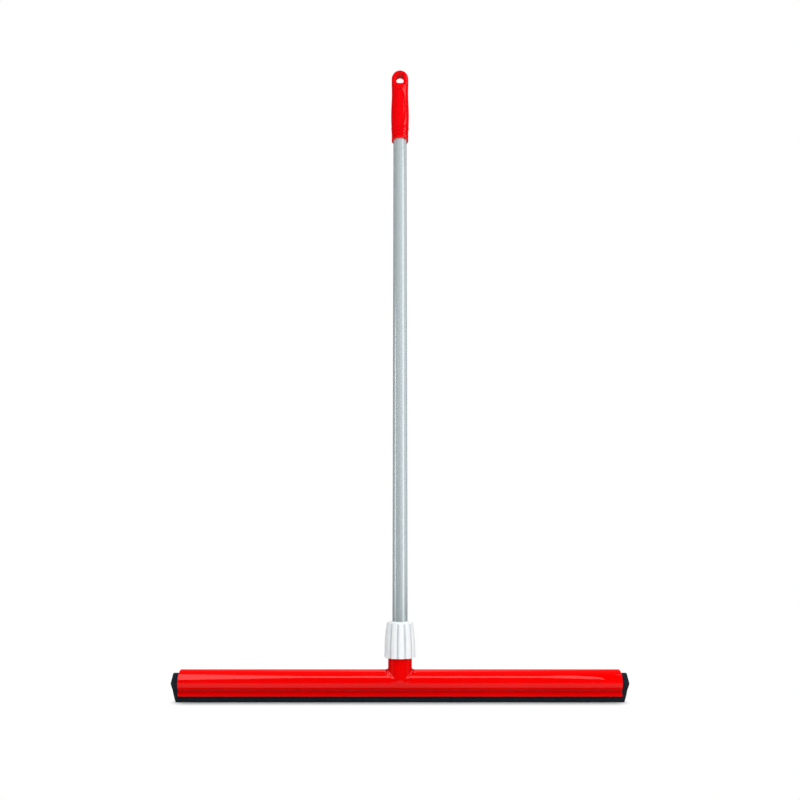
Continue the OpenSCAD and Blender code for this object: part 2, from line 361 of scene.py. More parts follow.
def paint_recess_shade(piece, share):
    """Stores a share of painted shade at each vertex, from 0 to 1, by which the material darkens its colour.
    """
    mesh = piece.data
    places = np.empty(3 * len(mesh.vertices))
    mesh.vertices.foreach_get("co", places)
    layer = mesh.attributes.new("recess_shade", "FLOAT", "POINT")
    layer.data.foreach_set("value", share(places.reshape(-1, 3) / MM))


def turned(meridian, columns):
    """Turns an (r, z) path round the Z axis: rows follow the path, columns go round."""
    turn = whole_turn(columns)
    radius = meridian[:, :1]
    height = np.repeat(meridian[:, 1:], columns, axis=1)
    return np.stack([radius * np.cos(turn), radius * np.sin(turn), height], axis=-1)


def swept_ends(half_length, edge, middle, steps=5):
    """Stations along a swept piece, as (X, inset) pairs: the inset follows a quarter circle at both ends."""
    turn = np.linspace(0.0, np.pi / 2, steps)
    end_x = half_length - edge + edge * np.sin(turn)
    end_inset = edge * (1.0 - np.cos(turn))
    inner = np.linspace(-half_length + edge, half_length - edge, middle)[1:-1]
    x = np.concatenate([-end_x[::-1], inner, end_x])
    inset = np.concatenate([end_inset[::-1], np.zeros(len(inner)), end_inset])
    return x, inset


def along_x(x, section):
    """Puts the rows of a (Y, Z) section at their stations along X."""
    stations = np.broadcast_to(x[:, None, None], section.shape[:2] + (1,))
    return np.concatenate([stations, section], axis=2)


def frame_section():
    """The channel's wall as two paths from the left lip to the right lip, outside and inside, with the side
    normals that point into the wall. Flat top, round flanks, pinch groove and lips that flare as a power of
    the way down, blurred at the corners."""
    arc_count, path_count, pull = 80, 260, 3.0
    flank = (FLANK_OFFSET, BELLY)
    groove_angle = -math.degrees(math.acos((GROOVE_HALF - FLANK_OFFSET) / FLANK_RADIUS))
    lip_middle = [LIP_HALF - FRAME_WALL / 2, LIP_HEIGHT]
    t = np.linspace(0.0, 1.0, 12)[1:]
    lip = np.stack([GROOVE_HALF + (LIP_HALF - GROOVE_HALF) * t**LIP_CURVE,
                    GROOVE_HEIGHT + (LIP_HEIGHT - GROOVE_HEIGHT) * t], axis=1)
    right_outside = np.concatenate([
        circle_arc(flank, FLANK_RADIUS, 90.0, groove_angle, arc_count), lip, [lip_middle]])
    right_inside = np.concatenate([
        circle_arc(flank, FLANK_RADIUS - FRAME_WALL, 90.0, groove_angle, arc_count),
        [[BLADE_PINCH + CHANNEL_CLEARANCE, GROOVE_HEIGHT], [LIP_HALF - FRAME_WALL, LIP_HEIGHT], lip_middle]])
    outside = np.concatenate([right_outside[::-1] * MIRROR, right_outside])
    inside = np.concatenate([right_inside[::-1] * MIRROR, right_inside])
    loop = np.concatenate([outside, inside[-2:0:-1]])
    soft = softened(loop, FRAME_SOFTNESS, closed=True)
    outside_share = lengths_along(outside)[-1] / lengths_along(np.concatenate([loop, loop[:1]]))[-1]
    split = int(round(outside_share * (len(soft) - 1)))
    both = np.concatenate([soft, -side_normals(soft)], axis=1)
    return [gathered(both[:split + 1], path_count, pull), gathered(both[split:], path_count, pull)[::-1]]


def frame_channel(material):
    """The moulded channel: its wall section carried along X, with small round edges at both ends."""
    x, inset = swept_ends(FRAME_HALF_LENGTH, FRAME_EDGE, middle=20)
    sheets = []
    for path in frame_section():
        sheets.append(along_x(x, path[None, :, :2] + inset[:, None, None] * path[None, :, 2:]))
    outside, inside = sheets
    caps = [np.stack([outside[end], inside[end]]) for end in (0, -1)]
    grids = [(outside, False), (inside, False), (caps[0], False), (caps[1], False)]
    piece = make_piece("frame_channel", grids, material, "head", ["head_frame"], 40.0)

    def recess_shade_share(places):
        """The share of painted shade at each vertex, a dark line along the groove: a bell over the height
        from the line, wider below it.
        """
        over = places[:, 2] - GROOVE_HEIGHT + GROOVE_SHADE_DROP
        return bell(over, np.where(over > 0.0, GROOVE_SHADE_UP, GROOVE_SHADE_DOWN))

    paint_recess_shade(piece, recess_shade_share)
    return piece


def dome_points(x, across, depth):
    """Points on the channel's top and flanks, a depth below the surface. Across is the length over the
    section from the centre line: flat for the first stretch, then round the flank."""
    width = np.abs(across)
    turn = np.maximum(width - FLANK_OFFSET, 0.0) / FLANK_RADIUS
    radius = FLANK_RADIUS - depth
    y = np.sign(across) * (np.minimum(width, FLANK_OFFSET) + radius * np.sin(turn))
    z = BELLY + radius * np.cos(turn)
    return np.stack([np.broadcast_to(x, y.shape), y, z], axis=-1)


def neck_saddle(turn):
    """Rows of the neck's foot: in the channel's wall, up the saddle's edge and over the saddle to the neck.

    The saddle's edge is a superellipse drawn on the channel's dome. From there each meridian steps up by the
    saddle's rise and then runs to the neck on a cubic Hermite curve that leaves along the saddle and reaches
    the neck upright, lower at the front than at the sides."""
    edge_x = SADDLE_HALF_LENGTH * signed_power(np.cos(turn), 2.0 / SADDLE_POWER)
    edge_across = SADDLE_HALF_ACROSS * signed_power(np.sin(turn), 2.0 / SADDLE_POWER)
    scale = np.linspace(0.0, 1.0, 14)[:, None]
    under = dome_points(scale * edge_x, scale * edge_across, FRAME_WALL / 2)
    share = np.linspace(0.0, 1.0, 10)[:, None]
    inward = 1.0 - SADDLE_STEP * share
    depth = SADDLE_SUNK - (SADDLE_RISE + SADDLE_SUNK) * ramp(share, 0.0, 1.0)
    step = dome_points(inward * edge_x, inward * edge_across, depth)
    edge = step[-1]
    a_hair_in = 0.999 * inward[-1]
    leave = dome_points(a_hair_in * edge_x, a_hair_in * edge_across, -SADDLE_RISE) - edge
    leave /= np.linalg.norm(leave, axis=1)[:, None]
    blend_top = BLEND_TOP_SIDE + (BLEND_TOP_FRONT - BLEND_TOP_SIDE) * np.sin(turn) ** 2
    arrive = np.stack([NECK_RADIUS * np.cos(turn), NECK_RADIUS * np.sin(turn), blend_top], axis=1)
    span = np.linalg.norm(arrive - edge, axis=1)[:, None]
    upwards = np.array([0.0, 0.0, 1.0])
    t = np.linspace(0.0, 1.0, 30)[:, None, None]
    blend = ((2 * t**3 - 3 * t**2 + 1) * edge + (t**3 - 2 * t**2 + t) * leave * span
             + (3 * t**2 - 2 * t**3) * arrive + (t**3 - t**2) * upwards * span)
    return np.concatenate([under, step, blend[1:]])


def neck_socket(turn):
    """Rows of the neck over its saddle: shank, thread, conical mouth and bore, turned round the Z axis. The
    thread is a helix: the radius drops by a rounded wave of (height / lead - turn)."""
    columns = len(turn)
    shank = rounded([[NECK_RADIUS, BLEND_TOP_SIDE], [NECK_RADIUS, NECK_SHOULDER],
                     [THREAD_RADIUS, NECK_SHOULDER]], softness=0.4, closed=False, count=30, pull=1.0)
    height = np.linspace(NECK_SHOULDER, NECK_TOP, 110)
    thread = turned(np.stack([np.full(len(height), THREAD_RADIUS), height], axis=1), columns)
    phase = height[:, None] / THREAD_LEAD - turn / (2 * np.pi)
    run_in = ramp(height, NECK_SHOULDER, NECK_SHOULDER + THREAD_RUN_IN)
    run_out = 1 - ramp(height, NECK_TOP - THREAD_RUN_OUT, NECK_TOP)
    wave = ramp(np.cos(2 * np.pi * phase), -THREAD_FLANK, THREAD_FLANK)
    cut = THREAD_DEPTH * (run_in * run_out)[:, None] * wave
    thread[..., :2] *= 1.0 - cut[..., None] / THREAD_RADIUS
    mouth = rounded([[THREAD_RADIUS, NECK_TOP], [MOUTH_RADIUS, NECK_TOP], [MOUTH_SEAT_RADIUS, MOUTH_SEAT],
                     [BORE_RADIUS, MOUTH_SEAT], [BORE_RADIUS, SOCKET_FLOOR], [0.0, SOCKET_FLOOR]],
                    softness=0.2, closed=False, count=60, pull=1.0)
    return np.concatenate([turned(shank, columns)[1:], thread[1:], turned(mouth, columns)[1:]])


def frame_neck(material):
    """The neck as one closed form: its saddle, and the shank with its thread, mouth and bore."""
    turn = whole_turn(192)
    grid = np.concatenate([neck_saddle(turn), neck_socket(turn)])
    return make_piece("frame_neck", [(grid, True)], material, "head", ["head_frame"], 40.0)


def rubber_blade(name, side, material):
    """One foam lip: its section carried along X, with raked ends and slight waves at the tip.

    At height z the lip's half-length is the refill's, less the rake times a power of (1 - z / belly height)
    below the belly. The waves are sines of X that grow from the groove's height down. The end caps are rings
    that shrink to a point inside the section."""
    corners = [[SPINE_WEB_HALF, FLANGE_FOOT], [SPINE_FLANGE_HALF, FLANGE_FOOT],
               [SPINE_FLANGE_HALF, BLADE_TOP], [CROWN_HALF, BLADE_TOP], [BLADE_BELLY, BLADE_BELLY_HEIGHT],
               [BLADE_PINCH, GROOVE_HEIGHT], [TIP_OUTER, 0.0], [TIP_INNER, 0.0],
               [SPINE_WEB_HALF, SPINE_BOTTOM]]
    section, outward = closed_section(corners, softness=0.45, count=150, pull=2.0)

    def placed(part, share, inset_x):
        """Points of the section at shares of the blade's half-length, less an inset at the ends."""
        rake = END_RAKE * np.clip(1.0 - part[..., 1] / BLADE_BELLY_HEIGHT, 0.0, 1.0) ** RAKE_CURVE
        x = share * (REFILL_HALF_LENGTH - rake) - np.sign(share) * inset_x
        low = np.clip(1.0 - part[..., 1] / GROOVE_HEIGHT, 0.0, 1.0)
        wave = sum(height * np.sin(x / length + phase * side) for height, length, phase in TIP_WAVES)
        return np.stack([x, side * (part[..., 0] + low * wave), part[..., 1]], axis=-1)

    end_steps, stations = 5, 120
    turn = np.linspace(0.0, np.pi / 2, end_steps)
    end_inset_x = BLADE_EDGE * (1.0 - np.sin(turn))
    end_inset = BLADE_EDGE * (1.0 - np.cos(turn))
    inner = np.linspace(-1.0, 1.0, stations + 2)[1:-1]
    share = np.concatenate([-np.ones(end_steps), inner, np.ones(end_steps)])
    inset_x = np.concatenate([end_inset_x[::-1], np.zeros(stations), end_inset_x])
    inset = np.concatenate([end_inset[::-1], np.zeros(stations), end_inset])
    rows = section[None] - inset[:, None, None] * outward[None]
    body = placed(rows, share[:, None], inset_x[:, None])
    ring = closing_rings(rows[-1], np.array(BLADE_HEART), 8)
    caps = [placed(ring, np.full(ring.shape[:2], end), 0.0) for end in (-1.0, 1.0)]
    grids = [(body, True), (caps[0], True), (caps[1], True)]
    return make_piece(name, grids, material, "refill", [name], 60.0)


def refill_spine(material):
    """The strip that joins the two lips: a T section carried along X, with small round edges at both ends.
    Its end caps are rings that shrink to a point."""
    right = np.array([[SPINE_FLANGE_HALF, BLADE_TOP], [SPINE_FLANGE_HALF, FLANGE_FOOT],
                      [SPINE_WEB_HALF, FLANGE_FOOT], [SPINE_WEB_HALF, SPINE_BOTTOM]])
    corners = np.concatenate([right, right[::-1] * MIRROR])
    section, outward = closed_section(corners, softness=0.2, count=90, pull=3.0)
    x, inset = swept_ends(SPINE_HALF_LENGTH, SPINE_EDGE, middle=30)
    rows = section[None] - inset[:, None, None] * outward[None]
    ring = closing_rings(rows[-1], np.array([0.0, BLADE_TOP - SPINE_FLANGE / 2]), 6)
    caps = [along_x(np.full(len(ring), end), ring) for end in (x[0], x[-1])]
    grids = [(along_x(x, rows), True), (caps[0], True), (caps[1], True)]
    return make_piece("refill_spine", grids, material, "refill", ["blade_spine"], 50.0)


def nut_notch(turn):
    """How far a turn, in degrees, lies into the notch between two lobes: 1 on the notch's line, fading out
    as a bell. Also gives t, which runs from -1 to 1 across each lobe."""
    t = 2.0 * np.mod((turn - NUT_GROOVE_TURN) * NUT_LOBES / 360.0, 1.0) - 1.0
    return bell(1.0 - np.abs(t), NOTCH_WIDTH), t


def below_band(height):
    """1 along the nut's lobes, fading to 0 at the plain band on top."""
    return 1.0 - ramp(height, NOTCH_END, BAND_START)


def clamp_nut(material):
    """The ribbed collar: a turned outline whose outside is drawn in to twelve convex lobes.

    With u as the share of the height, the outline has a flare at the foot that fades out as a square, and a
    taper that grows with the cube of u. Across a lobe, t runs from -1 to 1, and the radius drops with t
    squared and by a narrow notch at the lobe's edges. The drop fades out below the plain band and does not
    reach the inside."""
    lobe_columns = 28
    columns = NUT_LOBES * lobe_columns
    u = np.linspace(0.0, 1.0 - NUT_TOP_EDGE / NUT_HEIGHT, 60)
    outline = NUT_RADIUS + NUT_FLARE * np.clip(1.0 - u / NUT_FLARE_SHARE, 0.0, 1.0) ** 2 - NUT_TAPER * u**3
    outside = np.stack([outline, NUT_BASE + NUT_HEIGHT * u], axis=1)
    thread_bore = THREAD_RADIUS + NUT_CLEARANCE
    skirt_bore = NECK_RADIUS + NUT_CLEARANCE
    skirt_top = NECK_SHOULDER + NUT_CLEARANCE
    inside = np.array([
        [NUT_TOP_RADIUS, NUT_TOP], [BORE_RADIUS, NUT_TOP], [BORE_RADIUS, NUT_CONE_TOP],
        [NUT_CONE_TOP_RADIUS, NUT_CONE_TOP], [thread_bore, NUT_CONE_FOOT], [thread_bore, skirt_top],
        [skirt_bore, skirt_top], [skirt_bore, NUT_BASE]])
    meridian = rounded(np.concatenate([outside, inside]), softness=0.4, closed=True, count=150, pull=2.0)
    grid = turned(meridian, columns)
    notch, t = nut_notch(np.linspace(0.0, 360.0, columns, endpoint=False))
    drop = LOBE_DROP * t**2 + NOTCH_DEPTH * notch
    radius, height = meridian[:, 0], meridian[:, 1]
    reach = ramp(radius, LOBE_INSIDE, LOBE_OUTSIDE) * below_band(height)
    grid[..., :2] *= 1.0 - (reach[:, None] * drop / radius[:, None])[..., None]
    piece = make_piece("nut_collar", [(grid, True)], material, "nut", ["clamp_nut"], 50.0)

    def recess_shade_share(places):
        """The share of painted shade at each vertex: the notch's share, below the plain band."""
        turn = np.degrees(np.arctan2(places[:, 1], places[:, 0]))
        return nut_notch(turn)[0] * below_band(places[:, 2])

    paint_recess_shade(piece, recess_shade_share)
    return piece


def handle_tube(material):
    """The tube: a wall section with rounded ends, turned round the Z axis."""
    bore = TUBE_RADIUS - TUBE_WALL
    wall = [[TUBE_RADIUS, TUBE_FOOT], [TUBE_RADIUS, TUBE_TOP], [bore, TUBE_TOP], [bore, TUBE_FOOT]]
    grid = turned(rounded(wall, softness=0.15, closed=True, count=90, pull=60.0), 128)
    return make_piece("tube", [(grid, True)], material, "handle", ["handle_tube"], 50.0)


def grip_radius(s):
    """The grip's radius at height s over its lower end: a palm swell and a slight growth to the top."""
    swell = SWELL * hump(s - SWELL_HEIGHT, SWELL_REACH)
    return GRIP_RADIUS + swell + TOP_GROWTH * ramp(s, GROWTH_FOOT, GROWTH_TOP)


def grip_thickness(x, s):
    """Half the grip's thickness at (x, s): the round body and its dome, thinned by the flats. Below its
    start a flat runs out on a fillet and then leaves the body."""
    outside_body = 40.0
    over = np.maximum(s - DOME_FOOT, 0.0)
    body = np.sqrt(np.maximum(grip_radius(np.minimum(s, DOME_FOOT)) ** 2 - over**2 - x**2, 0.0))
    below = np.clip(FLAT_START - s, 0.0, FLAT_FILLET)
    flat = TOP_HALF_THICKNESS + FLAT_FILLET - np.sqrt(FLAT_FILLET**2 - below**2)
    flat += outside_body * ramp(FLAT_START - s, FLAT_FILLET, FLAT_FILLET + FLAT_RUN_OUT)
    return soft_min(body, flat, FLAT_BLEND)


def grip_relief(x, s):
    """How far the grip's surface is lowered: a leaf-shaped panel with a fine raised rim, two ring grooves
    and a bead. The leaf is a long ellipse, and the distance to its edge is (1 - q) over the slope of q,
    where q is 1 on the edge. Also gives the share of painted shade, in the ring grooves and inside the
    panel's edge."""
    tiny = 1e-6
    across, along = x / PANEL_HALF_WIDTH, (s - PANEL_HEIGHT) / PANEL_HALF_LENGTH
    q = np.hypot(across, along) + tiny
    leaf_inside = (1.0 - q) * q / np.hypot(across / PANEL_HALF_WIDTH, along / PANEL_HALF_LENGTH + tiny)
    rim = RIM_RISE * bell(leaf_inside + RIM_AWAY, RIM_WIDTH)
    lowered = PANEL_DEPTH * ramp(leaf_inside, *PANEL_SLOPE) - rim
    shade_lines = bell(leaf_inside - PANEL_SHADE_LINE, PANEL_SHADE_LINE_WIDTH)
    for ring in RING_HEIGHTS:
        groove = bell(s - ring, RING_WIDTH)
        lowered = lowered + RING_DEPTH * groove
        shade_lines = np.maximum(shade_lines, groove)
    return lowered - BEAD_RISE * bell(s - BEAD_HEIGHT, BEAD_WIDTH), shade_lines


def relief_share(s):
    """Fades the relief in over the grip's lower edge and out below the sheets round the hang hole."""
    return ramp(s, *RELIEF_FOOT) * (1.0 - ramp(s, GRIP_SPLIT - RELIEF_FADE, GRIP_SPLIT))


def grip_lower(columns):
    """The grip below the split: a profile from the bore's end, down the bore and up the outside, turned round
    the Z axis, with the relief on its outside."""
    heights = np.linspace(0.0, GRIP_SPLIT, 220)
    profile = np.concatenate([
        [[0.0, GRIP_BORE_DEPTH], [GRIP_BORE, GRIP_BORE_DEPTH], [GRIP_BORE, 0.0]],
        np.stack([grip_radius(heights), heights], axis=1)])
    soft = softened(profile, softness=0.3, closed=False)
    lip = np.argmax(soft[:, 1] < GRIP_LIP)
    outside = lip + np.argmax(soft[lip:, 1] > GRIP_LIP)
    inner = gathered(soft[:outside + 1], count=70, pull=3.0)
    outer = evenly(soft[outside:], 230)
    meridian = np.concatenate([inner, outer[1:]])
    lower = turned(meridian, columns)
    is_outer = np.arange(len(meridian)) >= len(inner)
    relief = grip_relief(lower[..., 0], lower[..., 2])[0] * is_outer[:, None]
    relief *= relief_share(lower[..., 2])
    lower[..., :2] *= 1.0 - (relief / np.maximum(meridian[:, :1], 1.0))[..., None]
    lower[0, :, :2] = 0.0
    return lower


def hole_outline(counts):
    """The hang hole's outline in (x, s), from the lower left corner round: foot, right side, arch and left
    side, each with its own count of points."""
    corner = HOLE_HALF - HOLE_CORNER
    corner_height = HOLE_FOOT + HOLE_CORNER
    foot = np.concatenate([
        circle_arc((-corner, corner_height), HOLE_CORNER, 225.0, 270.0, 8),
        circle_arc((corner, corner_height), HOLE_CORNER, 270.0, 315.0, 8)])
    right = np.concatenate([
        circle_arc((corner, corner_height), HOLE_CORNER, 315.0, 360.0, 8), [[HOLE_HALF, HOLE_ARCH]]])
    arch = circle_arc((0.0, HOLE_ARCH), HOLE_HALF, 0.0, 180.0, 60)
    left = right[::-1] * MIRROR
    parts = zip((foot, right, arch, left), counts)
    return np.concatenate([evenly(part, count, last=False) for part, count in parts])


def grip_sheets(columns):
    """The grip above the split: a front sheet, a back sheet and the wall that joins them through the hang
    hole. Rings run from the hole's outline to the silhouette, and the thickness gives the sheets their Y.
    The hole's edges are rounded by a quarter circle."""
    counts = (columns // 2, 36, 70, 36)
    foot_turn = np.linspace(-np.pi / 2, np.pi / 2, counts[0], endpoint=False)
    edge_radius = grip_radius(GRIP_SPLIT)
    foot = np.stack([edge_radius * np.sin(foot_turn), np.full(counts[0], GRIP_SPLIT)], axis=1)
    right_s = np.linspace(GRIP_SPLIT, DOME_FOOT, counts[1], endpoint=False)
    right = np.stack([grip_radius(right_s), right_s], axis=1)
    dome = circle_arc((0.0, DOME_FOOT), GRIP_DOME, 0.0, 180.0, counts[2] + 1)[:-1]
    left_s = np.linspace(DOME_FOOT, GRIP_SPLIT, counts[3], endpoint=False)
    left = np.stack([-grip_radius(left_s), left_s], axis=1)
    silhouette = np.concatenate([foot, right, dome, left])
    hole = hole_outline(counts)
    share = (0.5 - 0.5 * np.cos(np.linspace(0.0, np.pi, 40)))[:, None, None]
    rings = hole + share * (silhouette - hole)
    away = np.linalg.norm(rings - hole, axis=2)
    edge = HOLE_EDGE - np.sqrt(HOLE_EDGE**2 - np.clip(HOLE_EDGE - away, 0.0, HOLE_EDGE) ** 2)
    thick = grip_thickness(rings[..., 0], rings[..., 1]) - edge
    thick[-1, counts[0]:] = 0.0
    thick[-1, :counts[0]] = edge_radius * np.cos(foot_turn)
    front = np.stack([rings[..., 0], -thick, rings[..., 1]], axis=-1)
    back = front * np.array([1.0, -1.0, 1.0])
    through = np.linspace(0.0, 1.0, 16)[:, None, None]
    wall = front[0] + through * (back[0] - front[0])
    return [front, back, wall]


def grip(material):
    """The hand grip: the turned form below and the sheets round the hang hole above it."""
    columns = 256
    lift = np.array([0.0, 0.0, GRIP_BASE])
    grids = [(part + lift, True) for part in [grip_lower(columns), *grip_sheets(columns)]]
    piece = make_piece("hand_grip", grids, material, "handle", ["grip"], 60.0)

    def recess_shade_share(places):
        """The share of painted shade at each vertex: the share of groove in the relief, and a middling share
        on the hang hole's wall.
        """
        hole_wall_shade, near = 0.6, 0.01
        s = places[:, 2] - GRIP_BASE
        groove_shade = grip_relief(places[:, 0], s)[1] * relief_share(s)
        off_axis = np.hypot(places[:, 0], np.maximum(s - HOLE_ARCH, 0.0))
        return np.where((off_axis < HOLE_HALF + near) & (s > HOLE_FOOT - near), hole_wall_shade, groove_shade)

    paint_recess_shade(piece, recess_shade_share)
    return piece


def socket_texture(tree, kind, scale, stretch, detail=3.0):
    """A noise or cell texture on Object coordinates, with a scale per metre stretched along each axis."""
    place = tree.nodes.new("ShaderNodeTexCoord")
    mapping = tree.nodes.new("ShaderNodeMapping")
    mapping.inputs["Scale"].default_value = stretch
    tree.links.new(place.outputs["Object"], mapping.inputs["Vector"])
    texture = tree.nodes.new("ShaderNodeTexVoronoi" if kind == "cells" else "ShaderNodeTexNoise")
    texture.inputs["Scale"].default_value = scale
    tree.links.new(mapping.outputs["Vector"], texture.inputs["Vector"])
    if kind == "cells":
        return texture.outputs["Distance"]
    texture.inputs["Detail"].default_value = detail
    return texture.outputs["Fac"]


def spread_over(tree, value, low, high, value_low=0.3, value_high=0.7):
    """Maps a range of a value, by default a texture's middle range, to the range from low to high."""
    node = tree.nodes.new("ShaderNodeMapRange")
    node.inputs["From Min"].default_value = value_low
    node.inputs["From Max"].default_value = value_high
    node.inputs["To Min"].default_value = low
    node.inputs["To Max"].default_value = high
    tree.links.new(value, node.inputs["Value"])
    return node.outputs["Result"]


def surface(name, dark, light, patch, rough, grain, depth, stretch=(1.0, 1.0, 1.0), kind="noise",
            metallic=0.0, specular=0.5, recess_shade=None):
    """A procedural finish: two close colours mixed by soft patches, roughness that varies within a range,
    and a grain of the given scale per metre whose height, in metres, tilts the surface. Where the mesh
    carries a share of painted shade, its colour is multiplied by the given shade colour."""
    wear_scale, wear_detail = 5.0 * patch, 5.0
    material = bpy.data.materials.new(name)
    material.use_nodes = True
    tree = material.node_tree
    shader = tree.nodes["Principled BSDF"]
    shader.inputs["Metallic"].default_value = metallic
    shader.inputs["Specular IOR Level"].default_value = specular
    mix = tree.nodes.new("ShaderNodeMix")
    mix.data_type = "RGBA"
    mix.inputs["A"].default_value = (*dark, 1.0)
    mix.inputs["B"].default_value = (*light, 1.0)
    patches = socket_texture(tree, "noise", patch, stretch)
    tree.links.new(spread_over(tree, patches, 0.0, 1.0), mix.inputs["Factor"])
    colour = mix.outputs["Result"]
    if recess_shade:
        layer = tree.nodes.new("ShaderNodeAttribute")
        layer.attribute_name = "recess_shade"
        shade = tree.nodes.new("ShaderNodeMix")
        shade.data_type = "RGBA"
        shade.blend_type = "MULTIPLY"
        shade.inputs["B"].default_value = (*recess_shade, 1.0)
        tree.links.new(layer.outputs["Fac"], shade.inputs["Factor"])
        tree.links.new(colour, shade.inputs["A"])
        colour = shade.outputs["Result"]
    tree.links.new(colour, shader.inputs["Base Color"])
    wear = socket_texture(tree, "noise", wear_scale, stretch, wear_detail)
    tree.links.new(spread_over(tree, wear, *rough), shader.inputs["Roughness"])
    bump = tree.nodes.new("ShaderNodeBump")
    bump.inputs["Strength"].default_value = 1.0
    bump.inputs["Distance"].default_value = depth
    tree.links.new(socket_texture(tree, kind, grain, stretch), bump.inputs["Height"])
    tree.links.new(bump.outputs["Normal"], shader.inputs["Normal"])
    return material


def dress_node(node, material):
    """Gives a CAD node, which keeps its shape, a better material."""
    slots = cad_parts[node].data.materials
    slots.clear()
    slots.append(material)


# The last colour of each finish is painted shade, multiplied into its colour along the frame's groove, in the
# nut's notches and in the grip's relief and hang hole.
gloss_red = surface(
    "gloss_red_plastic", dark=(0.88, 0.0, 0.0), light=(0.93, 0.001, 0.001), patch=9.0, rough=(0.03, 0.06),
    grain=700.0, depth=2e-6, specular=0.9, recess_shade=(0.62, 0.62, 0.62))
satin_red = surface(
    "satin_red_plastic", dark=(0.85, 0.0, 0.002), light=(0.9, 0.001, 0.003), patch=40.0, rough=(0.22, 0.25),
    grain=2200.0, depth=3e-6, specular=0.4, recess_shade=(0.76, 0.76, 0.76))
white_nylon = surface(
    "white_nylon", dark=(0.85, 0.88, 0.90), light=(0.90, 0.92, 0.93), patch=60.0, rough=(0.34, 0.46),
    grain=1800.0, depth=1.2e-5, recess_shade=(0.74, 0.75, 0.77))
anodised = surface(
    "anodised_aluminium", dark=(0.58, 0.66, 0.69), light=(0.59, 0.67, 0.70), patch=120.0,
    rough=(0.225, 0.235), grain=1500.0, depth=2e-7, stretch=(1.0, 1.0, 0.004), metallic=0.5)
foam_rubber = surface(
    "foam_rubber", dark=(0.008, 0.014, 0.021), light=(0.013, 0.02, 0.028), patch=120.0, rough=(0.68, 0.85),
    grain=1600.0, depth=1.2e-4, kind="cells", specular=0.3)
black_plastic = surface(
    "black_plastic", dark=(0.035, 0.036, 0.04), light=(0.055, 0.056, 0.06), patch=80.0, rough=(0.4, 0.55),
    grain=1500.0, depth=1e-5)

channel_piece = frame_channel(gloss_red)
neck_piece = frame_neck(gloss_red)
rubber_blade("front_blade", -1.0, foam_rubber)
rubber_blade("rear_blade", 1.0, foam_rubber)
refill_spine(black_plastic)
clamp_nut(white_nylon)
tube_piece = handle_tube(anodised)
grip_piece = grip(satin_red)
# The photo's shadow and nut take no red from the frame, so the frame throws none on them.
channel_piece.visible_diffuse = False
neck_piece.visible_diffuse = False
dress_node("collet", white_nylon)
dress_node("tube_foot_plug", black_plastic)


# The stage, in metres
WHITE = (1.0, 1.0, 1.0)
TENT = 2.6
ROOF = 4.2


def plain_sheet(name, corners):
    """A flat staged sheet from its four corners."""
    mesh = bpy.data.meshes.new(name)
    mesh.from_pydata(corners, [], [(0, 1, 2, 3)])
    sheet = bpy.data.objects.new(name, mesh)
    bpy.context.scene.collection.objects.link(sheet)
    return sheet


def level_corners(half_width, front, back, height):
    """The corners of a level sheet."""
    return [(-half_width, front, height), (half_width, front, height), (half_width, back, height),
            (-half_width, back, height)]


def upright_corners(start, end, low, high):
    """The corners of an upright sheet over the line from start to end, both (X, Y)."""
    return [(*start, low), (*end, low), (*end, high), (*start, high)]


def glow(tree, strength, colour=WHITE):
    """An emission shader of one strength."""
    node = tree.nodes.new("ShaderNodeEmission")
    node.inputs["Color"].default_value = (*colour, 1.0)
    node.inputs["Strength"].default_value = strength
    return node.outputs["Emission"]


def vector_step(tree, operation, vector, other=(0.0, 0.0, 0.0)):
    """One step of vector arithmetic on a socket."""
    node = tree.nodes.new("ShaderNodeVectorMath")
    node.operation = operation
    tree.links.new(vector, node.inputs[0])
    node.inputs[1].default_value = other
    return node.outputs["Value" if operation == "LENGTH" else "Vector"]


def pale_floor():
    """The floor: a matt grey sheet that shows the object's shadow. For the camera it fades to pure white
    with the distance from the head's line, so that only the shadow close to the object shows. The light that
    it throws back on the object is that of a slightly paler floor, so near the head the camera sees a darker
    grey, a painted shade that deepens the shadow there."""
    reach = 6.0
    # The camera's grey is darker than the bounced one: painted shade that deepens the shadow near the head.
    painted_shade_grey, bounce_grey = 0.67, 0.78
    line_half_length = cad_high[0] - 0.03
    fade_start, fade_end = 0.0145, 0.035
    floor = plain_sheet("floor", level_corners(reach, -reach, reach, 0.0))
    material = bpy.data.materials.new("pale_floor")
    material.use_nodes = True
    tree = material.node_tree
    shader = tree.nodes["Principled BSDF"]
    shader.inputs["Roughness"].default_value = 0.9
    shader.inputs["Specular IOR Level"].default_value = 0.0
    path = tree.nodes.new("ShaderNodeLightPath")
    paint = tree.nodes.new("ShaderNodeMix")
    paint.data_type = "RGBA"
    paint.inputs["A"].default_value = (bounce_grey, bounce_grey, bounce_grey, 1.0)
    paint.inputs["B"].default_value = (painted_shade_grey, painted_shade_grey, painted_shade_grey, 1.0)
    tree.links.new(path.outputs["Is Camera Ray"], paint.inputs["Factor"])
    tree.links.new(paint.outputs["Result"], shader.inputs["Base Color"])
    place = tree.nodes.new("ShaderNodeTexCoord")
    beside = vector_step(tree, "ABSOLUTE", place.outputs["Object"])
    beyond = vector_step(tree, "SUBTRACT", beside, (line_half_length, 0.0, 0.0))
    distance = vector_step(tree, "LENGTH", vector_step(tree, "MAXIMUM", beyond))
    lift = tree.nodes.new("ShaderNodeMath")
    lift.operation = "MULTIPLY"
    tree.links.new(path.outputs["Is Camera Ray"], lift.inputs[0])
    tree.links.new(spread_over(tree, distance, 0.0, 1.0, fade_start, fade_end), lift.inputs[1])
    mix = tree.nodes.new("ShaderNodeMixShader")
    tree.links.new(lift.outputs[0], mix.inputs["Fac"])
    tree.links.new(shader.outputs["BSDF"], mix.inputs[1])
    tree.links.new(glow(tree, 1.0), mix.inputs[2])
    tree.links.new(mix.outputs["Shader"], tree.nodes["Material Output"].inputs["Surface"])
    floor.data.materials.append(material)


